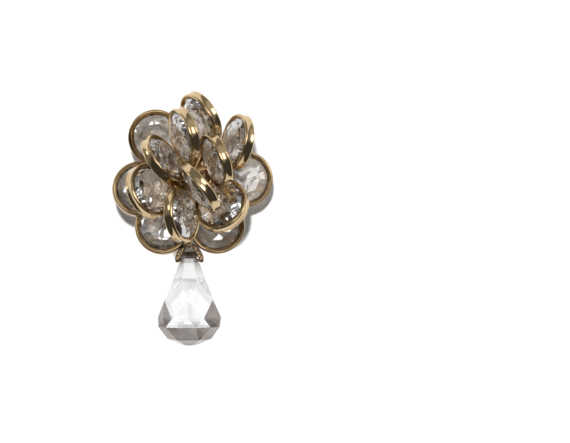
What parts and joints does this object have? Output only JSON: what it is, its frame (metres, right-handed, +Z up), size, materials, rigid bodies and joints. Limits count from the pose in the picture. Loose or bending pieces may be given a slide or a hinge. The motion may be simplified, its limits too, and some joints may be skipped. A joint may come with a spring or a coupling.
{
  "type": "drop earring",
  "caption": "Statement clip-on drop earring: a layered flower cluster of round clear crystals in gold-tone channel settings, with a faceted teardrop crystal hanging from a pinch bail.",
  "frame": {"origin": "in the flat underside of the ear clip, on the axis of the flower cluster, where the lying earring rests", "axes": "+Z up from the surface, out of the flower's face; -Y from the cluster towards the drop; +X to the right seen from the face"},
  "size_m": [0.0345, 0.0542, 0.0236],
  "materials": {
    "gold_frame": "polished gold-tone plating on cast and soldered brass",
    "gold_clip": "plain polished gold-tone strip",
    "gold_bail": "polished gold-tone plating, slightly darker in the bends",
    "crystal": "clear cut glass, polished facets",
    "drop_crystal": "bright clear cut glass, polished facets"
  },
  "bodies": {
    "root": {"flower_frame": "gold_frame", "ear_clip": "gold_clip", "pinch_bail": "gold_bail", "crystal_outer_1": "crystal", "crystal_outer_2": "crystal", "crystal_outer_3": "crystal", "crystal_outer_4": "crystal", "crystal_outer_5": "crystal", "crystal_outer_6": "crystal", "crystal_outer_7": "crystal", "crystal_inner_1": "crystal", "crystal_inner_2": "crystal", "crystal_inner_3": "crystal", "crystal_inner_4": "crystal", "crystal_inner_5": "crystal", "crystal_inner_6": "crystal", "crystal_inner_7": "crystal", "crystal_drop": "drop_crystal"}
  },
  "joints": []
}
